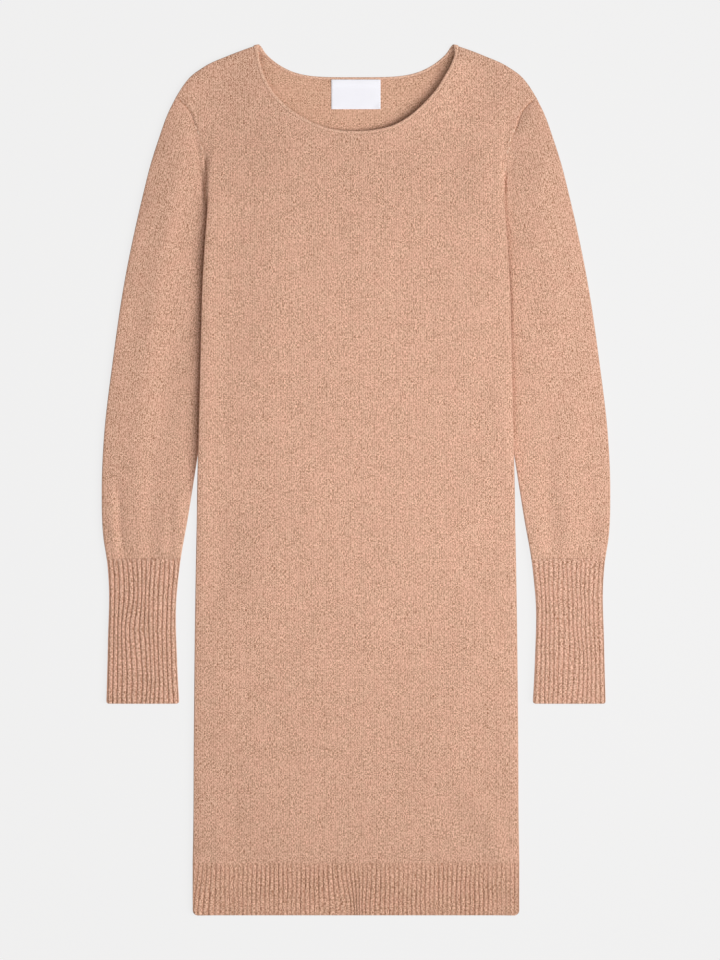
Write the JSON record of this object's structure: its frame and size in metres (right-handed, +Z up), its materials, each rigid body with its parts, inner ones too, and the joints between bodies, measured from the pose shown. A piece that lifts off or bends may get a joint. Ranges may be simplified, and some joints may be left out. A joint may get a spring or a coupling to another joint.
{
  "type": "sweater dress",
  "caption": "Long-sleeved knitted dress laid flat, front up, with a scooped neck, deep ribbed cuffs and a ribbed hem.",
  "frame": {"origin": "middle of the footprint, on the surface that the dress lies on", "axes": "+X towards the wearer's left sleeve, +Y from the hem towards the neck, +Z up out of the front"},
  "size_m": [0.5334, 0.912, 0.0112],
  "materials": {
    "jersey": "fine cashmere jersey, heathered pale camel pink, soft fuzz",
    "rib": "one by one rib knit in the same yarn",
    "trim": "narrow rolled jersey trim",
    "label": "bare white woven satin label"
  },
  "bodies": {
    "root": {"front": "jersey", "back": "jersey", "sleeve_left": "jersey", "sleeve_right": "jersey", "cuff_left": "rib", "cuff_right": "rib", "hem_front": "rib", "hem_back": "rib", "neck_trim": "trim", "neck_label": "label"}
  },
  "joints": []
}
